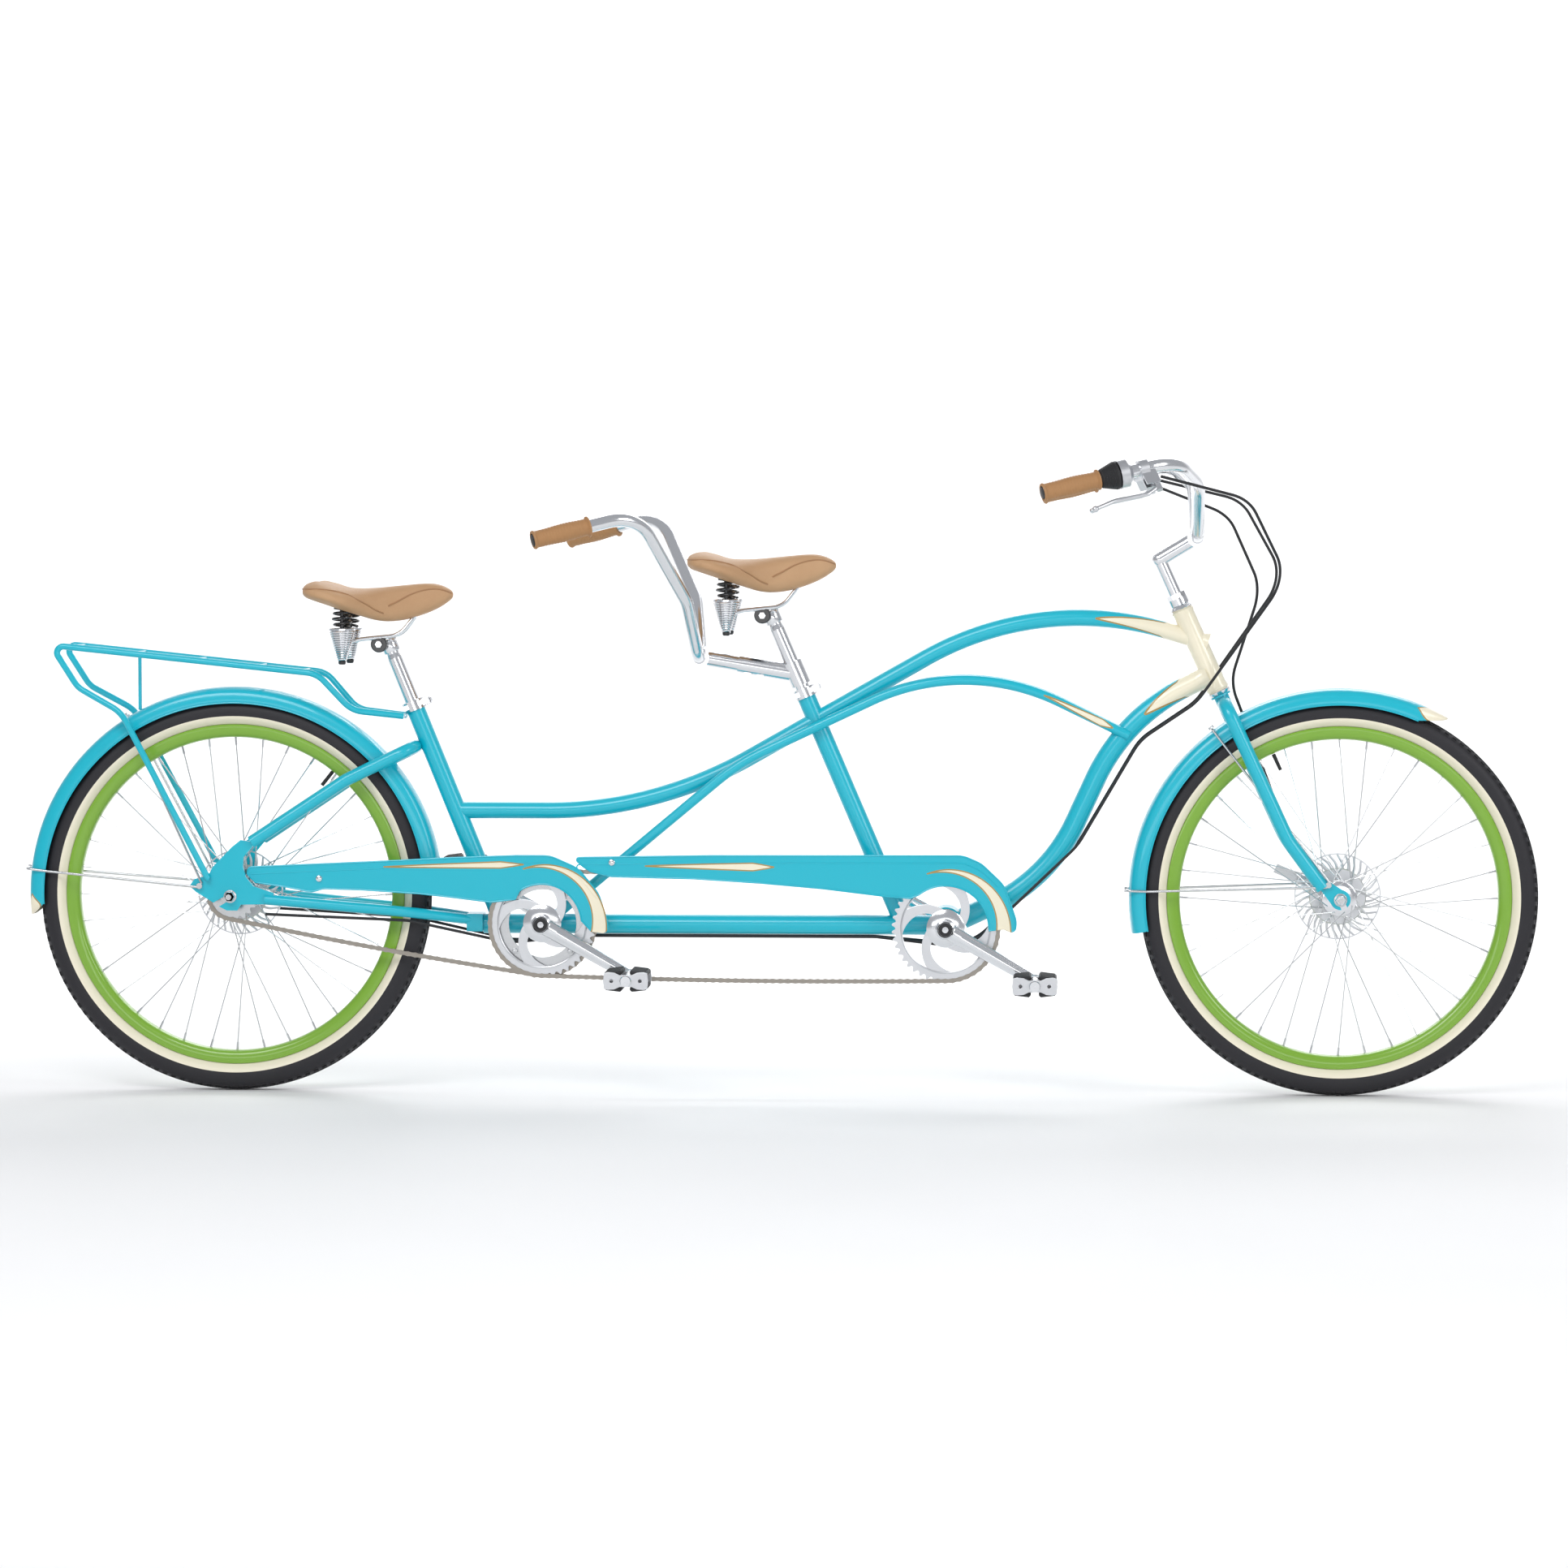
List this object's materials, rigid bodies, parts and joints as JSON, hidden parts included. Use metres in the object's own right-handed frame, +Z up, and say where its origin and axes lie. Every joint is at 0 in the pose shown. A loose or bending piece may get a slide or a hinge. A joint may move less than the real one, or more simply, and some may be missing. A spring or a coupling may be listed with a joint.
{
  "type": "tandem bicycle",
  "caption": "Cruiser tandem for two riders: curved tube frame, chain-linked cranks, wide bars, sprung saddles, fenders, chainguards and a rear rack.",
  "frame": {"origin": "on the ground, under the middle of the bicycle's length and width", "axes": "+X forward, +Y to the riders' left, +Z up; the drive side is -Y"},
  "size_m": [2.5794, 0.696, 1.0774],
  "materials": {
    "cyan_paint": "gloss",
    "cream_paint": "gloss",
    "lime_paint": "gloss",
    "polished_metal": "polished",
    "alloy": "satin",
    "steel": "brushed",
    "chain_steel": "oiled",
    "tyre_rubber": "matte",
    "black_rubber": "matte",
    "black_plastic": "matte",
    "tan_cover": "satin",
    "tan_rubber": "satin",
    "black_steel": "satin"
  },
  "bodies": {
    "frame": {"head_tube": "cream_paint", "top_tube": "cyan_paint", "down_tube": "cyan_paint", "side_tube_left": "cyan_paint", "side_tube_right": "cyan_paint", "boom_tube": "cyan_paint", "captain_seat_tube": "cyan_paint", "stoker_seat_tube": "cyan_paint", "seat_stays": "cyan_paint", "chain_stays": "cyan_paint", "bottom_bracket_parts": "polished_metal", "seat_collars": "polished_metal", "rear_fender": "cyan_paint", "rear_fender_stays": "steel", "rack": "cyan_paint", "rear_chainguard": "cyan_paint", "front_chainguard": "cyan_paint", "long_cables": "black_rubber", "rear_axle": "steel", "drive_chain": "chain_steel", "timing_chain": "chain_steel"},
    "steering": {"fork": "cyan_paint", "front_stem": "polished_metal", "front_bar": "polished_metal", "front_grips": "tan_rubber", "lever_mounts": "alloy", "front_fender": "cyan_paint", "front_fender_stays": "steel", "front_axle": "steel", "front_brake_cable": "black_rubber"},
    "left_brake_lever": {"brake_lever_left": "alloy"},
    "right_brake_lever": {"brake_lever_right": "alloy"},
    "gear_twist_grip": {"twist_grip": "black_plastic"},
    "front_wheel": {"front_tyre": "tyre_rubber", "front_rim": "lime_paint", "front_spokes": "steel", "front_hub": "alloy"},
    "rear_wheel": {"rear_tyre": "tyre_rubber", "rear_rim": "lime_paint", "rear_spokes": "steel", "rear_hub": "alloy"},
    "rear_sprocket": {"rear_sprocket": "steel"},
    "stoker_crankset": {"stoker_cranks": "alloy", "stoker_rings": "steel"},
    "captain_crankset": {"captain_cranks": "alloy", "captain_ring": "steel"},
    "captain_left_pedal": {"captain_pedal_left": "black_rubber"},
    "captain_right_pedal": {"captain_pedal_right": "black_rubber"},
    "stoker_left_pedal": {"stoker_pedal_left": "black_rubber"},
    "stoker_right_pedal": {"stoker_pedal_right": "black_rubber"},
    "captain_seat": {"captain_post": "polished_metal", "captain_saddle_frame": "black_steel", "captain_saddle": "tan_cover"},
    "stoker_seat": {"stoker_post": "polished_metal", "stoker_saddle_frame": "black_steel", "stoker_saddle": "tan_cover"},
    "stoker_handlebar": {"stoker_stem": "polished_metal", "stoker_bar": "polished_metal", "stoker_grips": "tan_rubber"}
  },
  "joints": [
    {"name": "steering", "type": "hinge", "parent": "frame", "child": "steering", "pos_m": [0.74649, 0, 0.68718], "axis": [-0.4123, 0, 0.911], "range_deg": [-60, 60], "deforming": ["long_cables"]},
    {"name": "left_brake", "type": "hinge", "parent": "steering", "child": "left_brake_lever", "pos_m": [0.63152, 0.29282, 1.03971], "axis": [0.0963, 0.7732, 0.6268], "range_deg": [0, 14], "stiffness_Nm_per_rad": 1.5, "springref_deg": -5.73},
    {"name": "right_brake", "type": "hinge", "parent": "steering", "child": "right_brake_lever", "pos_m": [0.63152, -0.29282, 1.03971], "axis": [-0.0963, 0.7732, -0.6268], "range_deg": [0, 14], "stiffness_Nm_per_rad": 1.5, "springref_deg": -5.73},
    {"name": "gear_twist", "type": "hinge", "parent": "steering", "child": "gear_twist_grip", "pos_m": [0.45297, -0.33, 1.02129], "axis": [0.9294, 0.2953, 0.2215], "range_deg": [0, 90]},
    {"name": "front_wheel_spin", "type": "hinge", "parent": "steering", "child": "front_wheel", "pos_m": [0.95075, 0, 0.3365], "axis": [0, 1, 0], "continuous": true},
    {"name": "rear_wheel_spin", "type": "hinge", "parent": "frame", "child": "rear_wheel", "pos_m": [-0.93125, 0, 0.3365], "axis": [0, 1, 0], "continuous": true},
    {"name": "stoker_crank_spin", "type": "hinge", "parent": "frame", "child": "stoker_crankset", "pos_m": [-0.40025, 0, 0.291], "axis": [0, 1, 0], "continuous": true, "deforming": ["drive_chain", "timing_chain"]},
    {"name": "captain_crank_spin", "type": "hinge", "parent": "frame", "child": "captain_crankset", "pos_m": [0.28552, 0, 0.285], "axis": [0, 1, 0], "continuous": true},
    {"name": "sprocket_spin", "type": "hinge", "parent": "frame", "child": "rear_sprocket", "pos_m": [-0.93125, 0, 0.3365], "axis": [0, 1, 0], "continuous": true},
    {"name": "captain_left_pedal_spin", "type": "hinge", "parent": "captain_crankset", "child": "captain_left_pedal", "pos_m": [0.13397, 0, 0.3725], "axis": [0, 1, 0], "continuous": true},
    {"name": "captain_right_pedal_spin", "type": "hinge", "parent": "captain_crankset", "child": "captain_right_pedal", "pos_m": [0.43708, 0, 0.1975], "axis": [0, 1, 0], "continuous": true},
    {"name": "stoker_left_pedal_spin", "type": "hinge", "parent": "stoker_crankset", "child": "stoker_left_pedal", "pos_m": [-0.5518, 0, 0.3785], "axis": [0, 1, 0], "continuous": true},
    {"name": "stoker_right_pedal_spin", "type": "hinge", "parent": "stoker_crankset", "child": "stoker_right_pedal", "pos_m": [-0.2487, 0, 0.2035], "axis": [0, 1, 0], "continuous": true},
    {"name": "captain_seat_height", "type": "slide", "parent": "frame", "child": "captain_seat", "axis": [-0.394, 0, 0.9191], "range_m": [0, 0.06]},
    {"name": "stoker_seat_height", "type": "slide", "parent": "frame", "child": "stoker_seat", "axis": [-0.3771, 0, 0.9262], "range_m": [-0.03, 0.05]},
    {"name": "stoker_stem_height", "type": "slide", "parent": "captain_seat", "child": "stoker_handlebar", "axis": [-0.394, 0, 0.9191], "range_m": [0, 0.03]}
  ],
  "couplings": [
    {"joint": "captain_crank_spin", "follows": "stoker_crank_spin", "ratio": 1},
    {"joint": "sprocket_spin", "follows": "stoker_crank_spin", "ratio": 2.2}
  ]
}
